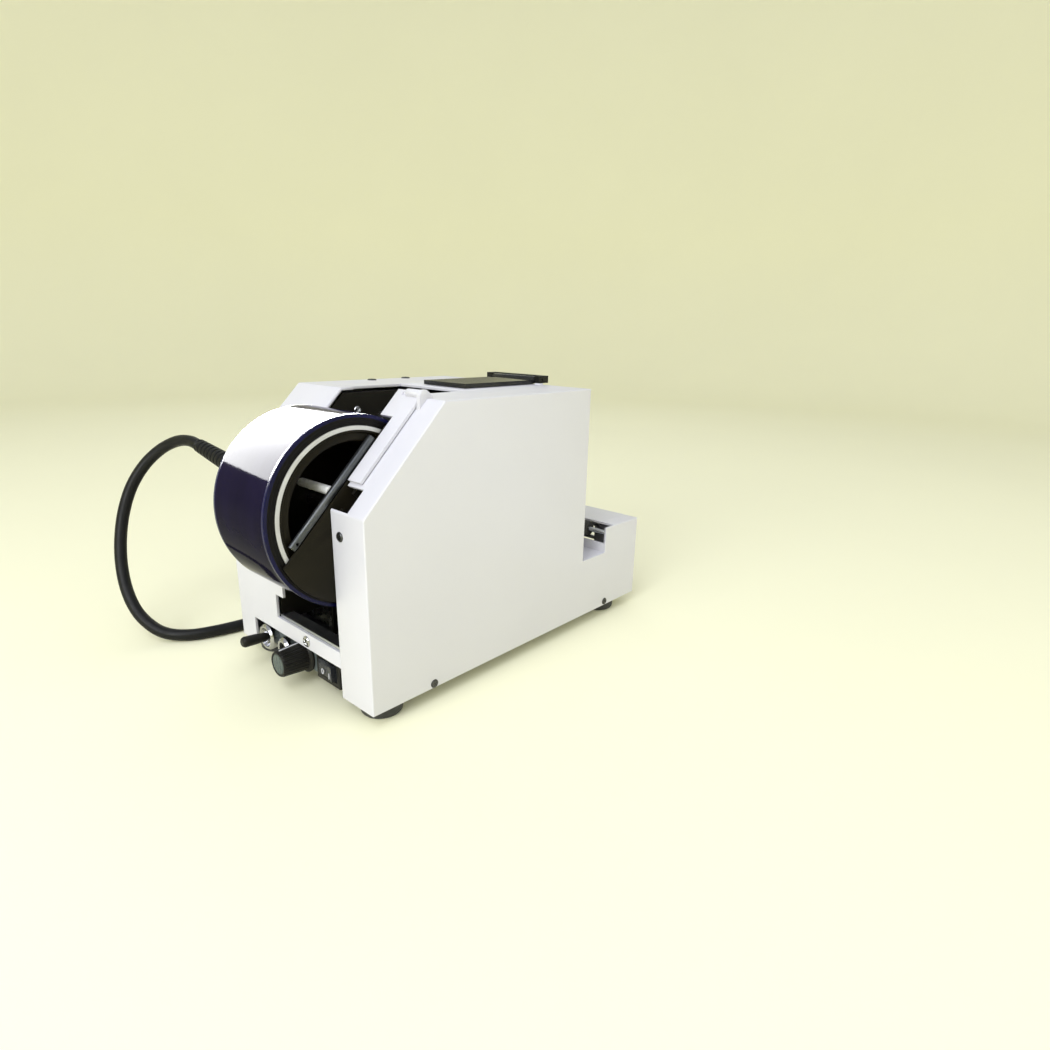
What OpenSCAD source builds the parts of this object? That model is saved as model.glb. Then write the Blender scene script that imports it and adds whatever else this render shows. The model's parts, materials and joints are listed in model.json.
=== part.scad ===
// Bench-top edge taper: a roll of packing tape stands in the slanted front, a motor feeds the tape
// out of the back of the tall housing, and a packet pushed into the slot behind it is edge-taped.
// Lengths along x run from the front face to the back, y from the operator's side to the far side.

/* [Housing] */
// Length of the housing along the base
body_l = 223.7; // [223:0.1:226]
// Width across the two side covers
body_w = 130; // [130:0.5:132]
// Height of the tall part above the covers' lower edge
body_h = 145.7; // [145:0.1:147]
// Height at which the front face starts to slant back
front_h = 97.2; // [97:0.1:98]
// How far back the slanted face reaches
slant_x = 48.1; // [47.5:0.1:48.5]
// Back face of the tall part
tall_x = 161.8; // [161.8:0.1:163]
// Thickness of the folded sheet
sheet = 1.5; // [1.5:0.1:1.6]
// Width of the near cover's front flange
near_flange = 25.6; // [25:0.1:25.6]
// Distance of the far cover's front flange from the near side
far_flange = 86; // [86:0.1:88]
// Height of the rubber feet
foot_h = 8; // [8:0.5:12]

/* [Tape] */
// Width of the tape and of its core
tape_w = 48; // [48:0.1:48.2]
// Outer radius of the tape roll
roll_r = 46.9; // [43:0.1:46.9]
// Outer radius of the cardboard core
core_r = 41.6; // [41:0.1:42]
// Inner radius of the cardboard core
core_bore_r = 38.1; // [38.1:0.1:38.3]

/* [Drive] */
// Teeth on the feed gear
feed_teeth = 40; // [40:1:40]
// Teeth on the motor pinion
pinion_teeth = 14; // [14:1:14]
// Gear module
gear_m = 0.8; // [0.8:0.1:0.8]
// Radius of the rubber feed roller
feed_r = 10.2; // [9.8:0.1:10.2]
// Radius of the pinch roller
pinch_r = 6.2; // [5.8:0.1:6.2]

/* [Slot] */
// Height of the slot's floor
slot_z = 38; // [37:0.5:38]
// Back face of the slot
slot_x = 186; // [186:0.5:188]
// Height of the low block behind the slot
block_h = 55; // [55:0.5:56]

/* [Mains lead] */
// Diameter of the mains lead
cord_d = 7; // [6:0.5:7]
// Mean diameter of the coil that the lead is wound into
coil_d = 78; // [78:1:84]

/* [Hidden] */
$fn = 64;

roll_x = 15.6;
roll_z = 92.6;
roll_y = 28;
mid_x = (body_l + roll_x - roll_r) / 2;
bend_k = tan(22.5);
slope = atan2(body_h - front_h, slant_x);
inner_y = body_w - sheet;
near_plate_y = 22;
wall_y = far_flange;
plate_t = 2;
bar_z0 = 16;
bar_z1 = 24.7;
panel_y0 = 31;
panel_y1 = 113.5;
panel_x = 5;
open_x = 92;
near_top = 33;
far_top = 90;
keeper_y = 26;
bar_off = 17.6;
web_t = 0.3;
web_z = 56;
web_end = 144.6;
guide_x = 90;
guide_r = 6;
feed_x = 118;
feed_z = web_z - web_t - feed_r;
pinch_z = web_z + 2 * web_t + pinch_r;
pivot_x = 100;
pivot_z = 76;
mesh_d = gear_m * (feed_teeth + pinion_teeth) / 2 + 0.08;
gear_y = 89.5;
gear_t = 5;
wiper_x = 157.4;
wiper_r = 5.4;
wiper_z = 47;
rear_wiper_x = 189.5;
rear_wiper_z = 50.5;
sol_z0 = 100;
sol_x = 142;
sol_y = 52;
knob_y = 66.5;
knob_z = 7.6;
rocker_y = 43.5;
rocker_z = 7;
lever_y = 101;
lever_z = 7.5;
ring_y = 82.5;
ring_z = 7;
trig_x = 155;
trig_z = 33;
hinge_x = 160;
hinge_z = 148.4;
bar_y0 = 37;
bar_y1 = 83;
gate_s = 68.6;
gate_t = 2.5;
cord_r = cord_d / 2;
exit_x = 15;
exit_z = 93;
relief_end = [8, 182, 106];
relief_way = relief_end - [exit_x, body_w, exit_z];
relief_l = norm(relief_way);
relief_rise = asin(relief_way[2] / relief_l);
relief_turn = atan2(-relief_way[0], relief_way[1]);
coil_c = [100, 202.5];
plug_c = [121, 153];
floor_z = -foot_h;
run_z = floor_z + cord_r + 0.2;

// Route of the lead from the strain relief to the coil, in the housing's own lengths
route = [relief_end, [6.5, 192, 107.8], [3, 203, 106.5], [-3.5, 212.5, 101], [-12, 218.5, 91.5],
    [-20.5, 220.5, 79], [-27.5, 219, 64.5], [-33, 214.5, 49.5], [-37, 207.5, 34.5], [-39, 198.5, 20.5],
    [-38.5, 188, 9], [-35, 177.5, 1.2], [-29.5, 168.5, -3], [-20, 160, run_z], [-7, 154.5, run_z],
    [9, 151.5, run_z], [26, 151, run_z], [44, 151.5, run_z], [62, 152, run_z], [86, 152.8, run_z]];
// Turns of the coil side by side and on top of each other
coil_w = 4;
coil_layers = 2;

module at_frame() { translate([-mid_x, -body_w / 2, foot_h]) children(); }

// A plate of thickness t in the xz plane, from y to y + t
module side_plate(pts, y, t) {
    translate([0, y + t, 0]) rotate([90, 0, 0]) linear_extrude(t) polygon(pts);
}

module y_rod(x, z, y0, y1, r) {
    translate([x, y0, z]) rotate([-90, 0, 0]) cylinder(r = r, h = y1 - y0);
}

module x_rod(y, z, x0, x1, r) {
    translate([x0, y, z]) rotate([0, 90, 0]) cylinder(r = r, h = x1 - x0);
}

module block(x0, x1, y0, y1, z0, z1) {
    translate([x0, y0, z0]) cube([x1 - x0, y1 - y0, z1 - z0]);
}

// Lies on the slanted face: x runs up the slope, z out of the face
module on_slope() { translate([0, 0, front_h]) rotate([0, -slope, 0]) children(); }

// A tube swept along a list of points, closed at both ends
function unit(v) = v / norm(v);
module swept(pts, r, sides, ref) {
    n = len(pts);
    rings = [for (i = [0:n - 1])
        let (t = unit(pts[min(i + 1, n - 1)] - pts[max(i - 1, 0)]), a = unit(cross(t, ref)), b = cross(t, a))
        for (k = [0:sides - 1]) pts[i] + r * (cos(360 * k / sides) * a + sin(360 * k / sides) * b)];
    walls = [for (i = [0:n - 2], k = [0:sides - 1]) let (m = (k + 1) % sides)
        [i * sides + k, (i + 1) * sides + k, (i + 1) * sides + m, i * sides + m]];
    polyhedron(rings, concat([[for (k = [0:sides - 1]) k]], walls,
        [[for (k = [sides - 1:-1:0]) (n - 1) * sides + k]]), 4);
}

// Points of a helix about the z axis
function helix(r, pitch, turns, steps) = [for (i = [0:turns * steps])
    [r * cos(360 * i / steps), r * sin(360 * i / steps), pitch * i / steps]];

// Involute spur gear outline
pressure = 25;
function inv(a) = tan(a) * 180 / PI - a;
function tooth_half(z, r, rb, slack) =
    90 / z - slack + inv(pressure) - inv(acos(min(1, rb / max(r, rb))));
module gear_outline(z) {
    rp = gear_m * z / 2;
    rb = rp * cos(pressure);
    root = rp - 1.25 * gear_m;
    tip = rp + gear_m;
    slack = 0.09 / rp * 180 / PI;
    radii = [root, max(root + 0.05, rb), rp, (rp + tip) / 2, tip];
    polygon([for (i = [0:z - 1]) each concat(
        [for (r = radii) let (a = 360 * i / z - tooth_half(z, r, rb, slack)) r * [cos(a), sin(a)]],
        [for (k = [4:-1:0]) let (r = radii[k], a = 360 * i / z + tooth_half(z, r, rb, slack))
            r * [cos(a), sin(a)]])]);
}
module y_gear(x, z, y, t, teeth, turn, bore) {
    translate([x, y + t, z]) rotate([90, 0, 0]) linear_extrude(t) difference() {
        rotate(turn) gear_outline(teeth);
        circle(bore);
    }
}

// The outer side profile of the housing
outline = [[0, 0], [0, front_h], [slant_x, body_h], [tall_x, body_h], [tall_x, slot_z],
    [slot_x, slot_z], [slot_x, block_h], [body_l, block_h], [body_l, 0]];

// The folded front, slant and top of a cover, as one band between y0 and y1
module front_band(y0, y1, x1) {
    side_plate([[0, 0], [0, front_h], [slant_x, body_h], [x1, body_h], [x1, body_h - sheet],
        [slant_x + bend_k * sheet, body_h - sheet], [sheet, front_h - bend_k * sheet], [sheet, 0]],
        y0, y1 - y0);
}

// The low folded edge along the back and over the block
module back_band(y0, y1) {
    side_plate([[body_l, 0], [body_l, block_h], [196, block_h], [196, block_h - sheet],
        [body_l - sheet, block_h - sheet], [body_l - sheet, 0]], y0, y1 - y0);
}

module base_plate() at_frame() color("gray") difference() {
    block(sheet, body_l - sheet, sheet, inner_y, 0, plate_t);
    block(-1, 34, panel_y0 - 3, panel_y1 + 2, -1, 3);
}

module near_cover() at_frame() color("white") difference() {
    union() {
        side_plate(outline, 0, sheet);
        front_band(sheet, near_flange, tall_x);
        block(slant_x + 8, tall_x, near_flange, near_top, body_h - sheet, body_h);
        back_band(sheet, 12);
    }
    on_slope() block(1, 14, 13, 40, -4, 4);
}

module far_cover() at_frame() color("white") difference() {
    union() {
        side_plate(outline, inner_y, sheet);
        front_band(far_flange, inner_y, slant_x + 8);
        block(slant_x + 8, tall_x, far_top, inner_y, body_h - sheet, body_h);
        block(0, sheet, near_flange, far_flange, bar_z0, bar_z1);
        block(0, sheet, far_flange - 8, far_flange, 38, front_h - 1);
        back_band(body_w - 12, inner_y);
    }
    block(-1, sheet + 0.5, panel_y0, panel_y1, -1, bar_z0);
    translate([exit_x, inner_y - 1, exit_z]) rotate([-90, 0, 0]) cylinder(r = 5.2, h = 4);
}

module top_cover() at_frame() color("white") difference() {
    union() {
        block(open_x, tall_x, near_top, far_top, body_h - sheet, body_h);
        for (y = [bar_y0, bar_y1 - 4]) block(hinge_x - 2, tall_x, y, y + 4, body_h - sheet, body_h + 0.9);
    }
    block(104, 154, 46, bar_y1 - 9, body_h - 3, body_h + 1);
}

module rear_wall() at_frame() color("white") difference() {
    block(tall_x - 1.6, tall_x, sheet, inner_y, slot_z, body_h - sheet);
    block(tall_x - 3, tall_x + 1, 26, 80, 41, 61);
    block(tall_x - 3, tall_x + 1, 6, 16, 38.6, 54);
}

module slot_tray() at_frame() color("white") union() {
    block(tall_x - 1.6, slot_x + sheet, sheet, inner_y, slot_z - sheet, slot_z);
    block(slot_x, slot_x + sheet, sheet, inner_y, slot_z, 44);
}

module rear_cover() at_frame() color("white") difference() {
    union() {
        block(196, body_l, 12, body_w - 12, block_h - sheet, block_h);
        block(body_l - sheet, body_l, 12, body_w - 12, plate_t, block_h);
    }
    for (i = [0:5]) block(body_l - 3, body_l + 1, 35, 95, 14 + 5 * i, 16.4 + 5 * i);
}

module axle_slot() {
    on_slope() block(7.7 - 4.15, 7.7 + 4.15, -5, 200, -14.4, 6);
    y_rod(roll_x, roll_z, -5, 200, 4.15);
}

wall_outline = [[34, plate_t], [34, 22], [3, 22], [3, front_h - 1.3], [49.5, body_h - 3],
    [159.6, body_h - 3], [159.6, plate_t]];

module partition_wall() at_frame() color("#1c1916") difference() {
    side_plate(wall_outline, wall_y, plate_t);
    axle_slot();
    y_rod(feed_x, feed_z, 80, 95, 5);
    y_rod(wiper_x, wiper_z, 80, 95, 1.6);
}

module near_frame_plate() at_frame() color("#1c1916") difference() {
    side_plate(wall_outline, near_plate_y, plate_t);
    axle_slot();
    y_rod(feed_x, feed_z, 20, 30, 5);
    y_rod(wiper_x, wiper_z, 20, 30, 1.6);
}

module frame_spacers() at_frame() color("silver") for (p = [[66, 14], [74, 128], [104, 96], [156, 14]])
    y_rod(p[0], p[1], near_plate_y + plate_t, wall_y, 3);

module front_rail() at_frame() color("lightsteelblue") union() {
    block(3, 10, near_plate_y + plate_t, wall_y, bar_z1 - 1.2, bar_z1 + 0.3);
    block(sheet, 3, 27, wall_y - 1, 18, 26.2);
}

module control_panel() at_frame() color("slategray") difference() {
    block(panel_x, panel_x + 1.5, 29, panel_y1 + 1.5, 0.2, 21);
    block(0, 20, rocker_y - 9, rocker_y + 9, rocker_z - 6, rocker_z + 6);
    x_rod(knob_y, knob_z, 0, 20, 3.6);
    x_rod(ring_y, ring_z, 0, 20, 4);
    x_rod(lever_y, lever_z, 0, 20, 5);
}

module roll_axle() at_frame() color("silver") union() {
    y_rod(roll_x, roll_z, 14, wall_y + 8, 4);
    y_rod(roll_x, roll_z, 76.2, 78, 7);
    y_rod(roll_x, roll_z, wall_y + plate_t + 0.2, wall_y + 6, 7);
}

// The keeper is a disc cut off along a chord that runs parallel to the slanted face
module roll_keeper() at_frame() color("#241d17") difference() {
    y_rod(roll_x, roll_z, keeper_y, keeper_y + 1.5, 44);
    translate([roll_x, 0, roll_z]) rotate([0, -slope, 0]) block(-60, 60, 20, 40, bar_off - 1.9, 60);
    y_rod(roll_x, roll_z, 20, 40, 4);
}

module keeper_bar() at_frame() color("silver") difference() {
    translate([roll_x, keeper_y + 1.6, roll_z]) rotate([0, -slope, 0]) translate([-32, 0, bar_off])
        rotate([0, 90, 0]) cylinder(r = 1.9, h = 64);
    translate([roll_x, keeper_y + 1.6, roll_z]) rotate([0, -slope, 0]) translate([-29, 0, bar_off])
        rotate([90, 0, 0]) cylinder(r = 0.8, h = 8, center = true);
}

module keeper_stud() at_frame() color("white") translate([roll_x, 0, roll_z]) rotate([0, -slope, 0])
    y_rod(0, bar_off, keeper_y + 3.5, 57, 2.2);

module drag_spring() at_frame() color("silver") translate([roll_x, 78.9, roll_z]) rotate([-90, 0, 0])
    swept(helix(5.6, 1.4, 4, 16), 0.55, 8, [0, 0, 1]);

module spool_drum() at_frame() color("#151310") difference() {
    y_rod(roll_x, roll_z, 30, 75, core_bore_r);
    y_rod(roll_x, roll_z, 29, 66, 34);
    y_rod(roll_x, roll_z, 20, 80, 4.06);
    y_rod(roll_x, roll_z, 70, 80, 34);
}

module tape_core() at_frame() color("white") difference() {
    y_rod(roll_x, roll_z, roll_y, roll_y + tape_w, core_r);
    y_rod(roll_x, roll_z, 20, 90, core_bore_r);
}

module tape_roll() at_frame() color("#1a1850") difference() {
    y_rod(roll_x, roll_z, roll_y, roll_y + tape_w, roll_r);
    y_rod(roll_x, roll_z, 20, 90, core_r);
}

module gate_hinge() at_frame() color("white") union() {
    side_plate([[43, front_h + 43 * tan(slope)], [slant_x, body_h], [51.5, body_h], [49.4, 148.6],
        [47.6, 149.9], [45.2, 149.8], [43.4, 147.4]], 12.8, 2.4);
    on_slope() y_rod(gate_s, gate_t, 14, 25, 1.2);
}

module roll_gate() at_frame() color("white") on_slope() difference() {
    union() {
        block(16, 70.5, 15.6, 25.2, 0.5, 2);
        block(54, 70.5, 25.2, 35, 0.5, 2);
        y_rod(gate_s, gate_t, 15.6, 25.2, 2);
    }
    y_rod(gate_s, gate_t, 10, 30, 1.25);
}

// The tape leaves the roll underneath, runs over the guide roller and lies level up to the blade
tangent_a = atan2(web_z - roll_z, guide_x - roll_x)
    - acos((roll_r + 2 * web_t) / norm([guide_x - roll_x, web_z - roll_z]));
leave = [roll_x, roll_z] + (roll_r + 2 * web_t) * [cos(tangent_a), sin(tangent_a)];
module tape_web() at_frame() color("#1a1850") side_plate([[leave[0] + 1, leave[1]], [guide_x, web_z],
    [web_end, web_z], [web_end, web_z + web_t], [guide_x, web_z + web_t],
    [leave[0] + 1, leave[1] + web_t]], roll_y + 0.2, tape_w - 0.4);

module roller_shafts() at_frame() color("silver") union() {
    y_rod(guide_x, web_z - web_t - guide_r, near_plate_y + plate_t, wall_y, 2);
    y_rod(pivot_x, pivot_z, near_plate_y + plate_t, wall_y, 2.5);
    y_rod(wiper_x, wiper_z, near_plate_y, wall_y + plate_t, 1.55);
    y_rod(rear_wiper_x, rear_wiper_z, sheet, inner_y, 1.5);
    y_rod(trig_x, trig_z, sheet, near_plate_y, 2);
}

module roller(x, z, y0, y1, r, bore) {
    difference() {
        y_rod(x, z, y0, y1, r);
        y_rod(x, z, y0 - 1, y1 + 1, bore);
    }
}

module guide_roller() at_frame() color("gainsboro")
    roller(guide_x, web_z - web_t - guide_r, 26, 80, guide_r, 2.05);

module feed_roller() at_frame() color("#33312f") roller(feed_x, feed_z, 27.5, 76.5, feed_r, 3);

module feed_shaft() at_frame() color("silver") y_rod(feed_x, feed_z, 20, gear_y + gear_t + 2, 3);

module feed_gear() at_frame() color("ivory") y_gear(feed_x, feed_z, gear_y, gear_t, feed_teeth, 0, 3);

module bearing_bushes() at_frame() color("#b08d57") for (y = [near_plate_y, wall_y])
    roller(feed_x, feed_z, y, y + plate_t, 5, 3.05);

module pinch_arm() at_frame() color("silver") difference() {
    union() {
        for (y = [25, 78]) side_plate([[pivot_x - 5, pivot_z + 3], [pivot_x + 3, pivot_z + 5.5],
            [feed_x + 4, pinch_z + 2.4], [feed_x + 2, pinch_z - 3.6], [feed_x - 4, pinch_z - 2.6],
            [pivot_x - 4, pivot_z - 4.5]], y, 2);
        y_rod(pivot_x, pivot_z, 25, 80, 4.2);
        y_rod(feed_x, pinch_z, 27, 78, 2);
    }
    y_rod(pivot_x, pivot_z, 20, 90, 2.55);
}

module pinch_roller() at_frame() color("#d9d5c8") roller(feed_x, pinch_z, 28, 76, pinch_r, 2.05);

module pinch_spring() at_frame() color("silver") translate([pivot_x, 46, pivot_z])
    rotate([-90, 0, 0]) swept(helix(5.5, 1.6, 5, 16), 0.6, 8, [0, 0, 1]);

module drive_motor() at_frame() color("silver") union() {
    y_rod(feed_x + mesh_d, feed_z, 96, 124, 14);
    y_rod(feed_x + mesh_d, feed_z, 95, 96, 6);
    y_rod(feed_x + mesh_d, feed_z, 124, 125.5, 5);
    y_rod(feed_x + mesh_d, feed_z, 88.4, 95.5, 1.5);
    block(feed_x + mesh_d - 9, feed_x + mesh_d + 9, 100, 120, plate_t, feed_z - 10);
}

module motor_pinion() at_frame() color("#b08d57")
    y_gear(feed_x + mesh_d, feed_z, gear_y, gear_t, pinion_teeth, 180 / pinion_teeth, 1.55);

module blade_guides() at_frame() color("silver") union() {
    for (y = [[near_plate_y + plate_t, 32], [72, wall_y]]) block(147.2, 150, y[0], y[1], 66, 97);
    block(147.2, 149, 32, 72, 92, 97);
}

module lower_anvil() at_frame() color("silver") union() {
    block(147.4, 150.4, 27, 78, plate_t, 55.4);
    block(139, 147.4, 27, 78, plate_t, plate_t + 2);
}

module cutter_solenoid() at_frame() color("#2e2a26") difference() {
    union() {
        block(sol_x - 14, sol_x + 14, sol_y - 14, sol_y + 14, sol_z0, sol_z0 + 3);
        block(sol_x - 14, sol_x + 14, sol_y - 14, sol_y + 14, 133, 136);
        block(sol_x - 14, sol_x + 14, sol_y - 14, sol_y - 11.5, sol_z0, 136);
        translate([sol_x, sol_y, sol_z0 + 1]) cylinder(r = 10.5, h = 34);
        block(sol_x - 4, sol_x + 4, near_plate_y + plate_t, sol_y - 14, 112, 118);
    }
    translate([sol_x, sol_y, sol_z0 - 1]) cylinder(r = 4.06, h = 32);
}

module cutter_plunger() at_frame() color("silver") union() {
    translate([sol_x, sol_y, 86]) cylinder(r = 4, h = 38);
    difference() {
        block(sol_x - 6, 147, sol_y - 9, sol_y + 9, 80, 88);
        block(145.2, 148, sol_y - 10, sol_y + 10, 79, 89);
    }
}

module cutter_blade() at_frame() color("gainsboro") translate([146.4, 29, 0]) rotate([0, -90, 0])
    linear_extrude(1.2) polygon(concat(
        [for (i = [0:22]) each [[62, 2 * i], [60.2, 2 * i + 1]]],
        [[62, 46], [85.8, 46], [85.8, 0]]));

module front_wiper_roller() at_frame() color("#33312f") roller(wiper_x, wiper_z, 27, 79, wiper_r, 1.6);

module rear_wiper_roller() at_frame() color("#33312f")
    roller(rear_wiper_x, rear_wiper_z, 16, 114, 5, 1.55);

module trigger_switch() at_frame() color("#26221f") union() {
    block(140, 156, 5, 12, 10, 21);
    block(140, 152, 5, 12, plate_t, 10);
    block(144, 146, 7.5, 9.5, 21, 21.8);
}

module trigger_lever() at_frame() color("silver") difference() {
    union() {
        side_plate([[trig_x - 3, trig_z + 2.6], [160, 43], [166.8, 45.5], [167.6, 47.5], [166.4, 49],
            [159, 48.6], [152.6, 37]], 8, 4);
        y_rod(trig_x, trig_z, 7, 13, 4);
        side_plate([[143, 28], [143, 29.4], [trig_x, trig_z + 1], [trig_x, trig_z - 3]], 8, 2);
    }
    y_rod(trig_x, trig_z, 0, 20, 2.05);
}

module control_board() at_frame() color("darkgreen") union() {
    block(40, 108, 92, 93.6, 60, 120);
    for (p = [[48, 72], [70, 72], [92, 84], [52, 104]]) block(p[0], p[0] + 12, 93.6, 101, p[1], p[1] + 10);
    for (p = [[44, 64], [104, 64], [44, 116], [104, 116]])
        y_rod(p[0], p[1], wall_y + plate_t, 92, 2);
}

module power_supply() at_frame() color("silver") difference() {
    block(38, 98, 92, 124, plate_t, 32);
    for (i = [0:6]) block(44 + 7 * i, 47 + 7 * i, 98, 118, 30.5, 33);
}

module switch_housing() at_frame() color("#1b1b1b") difference() {
    union() {
        block(panel_x - 1.6, panel_x, rocker_y - 11, rocker_y + 11, rocker_z - 7.5, rocker_z + 7.5);
        block(panel_x, 22, rocker_y - 9, rocker_y + 9, rocker_z - 6, rocker_z + 6);
    }
    block(0, 16, rocker_y - 7.6, rocker_y + 7.6, rocker_z - 4.7, rocker_z + 4.7);
}

module rocker_switch() at_frame() color("#232323") translate([panel_x + 3, rocker_y, rocker_z - 4.4])
    rotate([0, 0, -6]) difference() {
        linear_extrude(8.8) polygon([[-6.2, -7], [-5, 0], [-6.2, 7], [1, 6.6], [3, 0], [1, -6.6]]);
        translate([0, 0, -1]) cylinder(r = 1.55, h = 12);
    }

module dial_pot() at_frame() color("#26221f") union() {
    x_rod(knob_y, knob_z, panel_x + 1.5, 17, 5.4);
    x_rod(knob_y, knob_z, panel_x - 0.6, panel_x + 1.5, 3.5);
    x_rod(knob_y, knob_z, -7, panel_x, 2.5);
}

module speed_knob() at_frame() color("#1d1b19") difference() {
    translate([panel_x - 1, knob_y, knob_z]) rotate([0, -90, 0]) rotate_extrude()
        polygon([[0, 0], [9.6, 0], [9.6, 1], [8.2, 2], [7.8, 4], [7.2, 15], [6.6, 16], [0, 16]]);
    x_rod(knob_y, knob_z, -8, 10, 2.55);
}

module jack_ring() at_frame() color("silver") difference() {
    union() {
        x_rod(ring_y, ring_z, -1, panel_x, 6);
        x_rod(ring_y, ring_z, panel_x, 18, 3.9);
    }
    x_rod(ring_y, ring_z, -2, 12, 3.4);
}

module lever_bush() at_frame() color("silver") difference() {
    union() {
        x_rod(lever_y, lever_z, -1, panel_x, 7.6);
        x_rod(lever_y, lever_z, panel_x - 1, 20, 4.9);
    }
    translate([-3, lever_y, lever_z]) rotate([0, 90, 0]) cylinder(r1 = 5.6, r2 = 3, h = 12);
}

module lever_switch() at_frame() color("#15151c") translate([6, lever_y, lever_z]) union() {
    rotate([0, 4, 0]) rotate([0, -90, 0]) rotate_extrude()
        polygon([[0, -2], [1.4, -2], [1.4, 4], [2.3, 7], [2.9, 12], [3.1, 19], [2.2, 20.6], [0, 20.6]]);
    translate([0, 0, -3.1]) cylinder(r = 0.8, h = 6.2);
}

module lid_hinge_bar() at_frame() color("#141210") difference() {
    union() {
        block(163.2, 166.4, bar_y0, bar_y1, body_h + 0.9, 151);
        for (y = [bar_y0, bar_y1 - 4]) block(hinge_x - 2, 163.2, y, y + 4, body_h + 0.9, 151);
    }
    y_rod(hinge_x, hinge_z, 30, 100, 1.2);
}

module smoked_lid() at_frame() color("dimgray", 0.6) union() {
    difference() {
        union() {
            block(100, hinge_x, bar_y0 + 5, bar_y1 - 5, body_h + 0.3, hinge_z);
            y_rod(hinge_x, hinge_z, bar_y0 + 5, bar_y1 - 5, 2.2);
        }
        block(hinge_x - 2.2, hinge_x + 3, 40, 90, body_h - 3, body_h + 0.5);
    }
    y_rod(hinge_x, hinge_z, bar_y0 + 0.4, bar_y1 - 0.4, 1.14);
}

screw_spots = [[37.9, 2.4], [188.3, 2.7]];
module cover_screws() at_frame() color("#3a3a3a") {
    for (p = screw_spots) {
        y_rod(p[0], p[1], -0.9, 0, 2.3);
        y_rod(p[0], p[1], body_w, body_w + 0.9, 2.3);
    }
    x_rod(19, 85.7, -1, 0, 2.4);
    x_rod(56.5, 20.2, -1.2, 0, 3);
    for (p = [[95, 123], [124, 126]]) translate([p[0], p[1], body_h]) cylinder(r = 2.8, h = 1);
}

module feet() at_frame() color("#2b2b2b") for (x = [15, 200], y = [14, body_w - 14])
    translate([x, y, -foot_h]) rotate_extrude()
        polygon([[0, 0], [9.6, 0], [10.6, 1.2], [11.2, foot_h], [0, foot_h]]);

module strain_relief() at_frame() color("#121212") translate([exit_x, body_w, exit_z]) union() {
    rotate([-90, 0, 0]) rotate_extrude()
        polygon([[0, -4], [4.9, -4], [4.9, 0], [7.9, 0], [7.9, 3], [0, 3]]);
    rotate([0, 0, relief_turn]) rotate([relief_rise, 0, 0]) rotate([-90, 0, 0]) rotate_extrude()
        polygon([[0, 1.4], [4.2, 1.4], [6.6, 3.1], [cord_r + 0.6, relief_l], [0, relief_l]]);
}

module power_cord() at_frame() color("#0c0c0c") swept(route, cord_r, 10, [-0.6, 0.3, 0.74]);

module cord_coil() at_frame() color("#0c0c0c") translate([coil_c[0], coil_c[1], floor_z])
    rotate_extrude($fn = 96) translate([coil_d / 2 - coil_w * cord_d / 2, 0])
        square([coil_w * cord_d, coil_layers * cord_d]);

module cord_plug() at_frame() color("#101010") translate([plug_c[0], plug_c[1], floor_z])
    union() {
        translate([-0.6, 0, cord_r + 6]) rotate([0, 90, 0]) cylinder(r1 = cord_r, r2 = 7.5, h = 26);
        translate([25, -12, 0.4]) cube([24, 24, 18]);
        for (s = [-1, 1]) translate([49, 9.5 * s, 9.5]) rotate([0, 90, 0]) cylinder(r = 2, h = 19);
    }

base_plate();
near_cover();
far_cover();
top_cover();
rear_wall();
slot_tray();
rear_cover();
partition_wall();
near_frame_plate();
frame_spacers();
front_rail();
control_panel();
roll_axle();
roll_keeper();
keeper_bar();
keeper_stud();
drag_spring();
spool_drum();
tape_core();
tape_roll();
gate_hinge();
roll_gate();
tape_web();
roller_shafts();
guide_roller();
feed_roller();
feed_shaft();
feed_gear();
bearing_bushes();
pinch_arm();
pinch_roller();
pinch_spring();
drive_motor();
motor_pinion();
blade_guides();
lower_anvil();
cutter_solenoid();
cutter_plunger();
cutter_blade();
front_wiper_roller();
rear_wiper_roller();
trigger_switch();
trigger_lever();
control_board();
power_supply();
switch_housing();
rocker_switch();
dial_pot();
speed_knob();
jack_ring();
lever_bush();
lever_switch();
lid_hinge_bar();
smoked_lid();
cover_screws();
feet();
strain_relief();
power_cord();
cord_coil();
cord_plug();
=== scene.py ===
import json
from math import atan2, cos, pi, radians, sin, tan

import bmesh
import bpy
from mathutils import Euler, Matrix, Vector


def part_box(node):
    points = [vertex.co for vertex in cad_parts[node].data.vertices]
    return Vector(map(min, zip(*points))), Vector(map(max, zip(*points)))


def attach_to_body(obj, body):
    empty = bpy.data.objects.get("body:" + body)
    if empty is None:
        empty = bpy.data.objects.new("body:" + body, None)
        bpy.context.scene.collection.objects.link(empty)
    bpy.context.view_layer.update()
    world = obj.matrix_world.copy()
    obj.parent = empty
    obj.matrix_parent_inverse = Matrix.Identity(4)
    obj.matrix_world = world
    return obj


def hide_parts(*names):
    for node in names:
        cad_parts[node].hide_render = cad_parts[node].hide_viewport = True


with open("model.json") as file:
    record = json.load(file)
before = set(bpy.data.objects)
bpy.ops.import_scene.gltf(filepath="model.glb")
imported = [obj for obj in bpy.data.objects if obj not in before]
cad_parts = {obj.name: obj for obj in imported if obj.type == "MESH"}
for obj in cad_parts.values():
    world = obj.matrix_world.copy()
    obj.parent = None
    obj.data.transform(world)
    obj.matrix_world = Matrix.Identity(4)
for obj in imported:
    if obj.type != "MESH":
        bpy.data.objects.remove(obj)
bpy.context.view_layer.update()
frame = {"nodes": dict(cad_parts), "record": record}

mm = 0.001
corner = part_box("near_cover")[0]  # the housing's own corner; its lengths run back, across and up from here
slotOf = {part["node"]: part["material_slot"] for part in frame["record"]["subparts"]}
bodyOf = {node: body for body, nodes in frame["record"]["behaviour"]["bodies"].items() for node in nodes}


def at(x, y, z):
    return corner + Vector((x, y, z)) * mm


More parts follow.
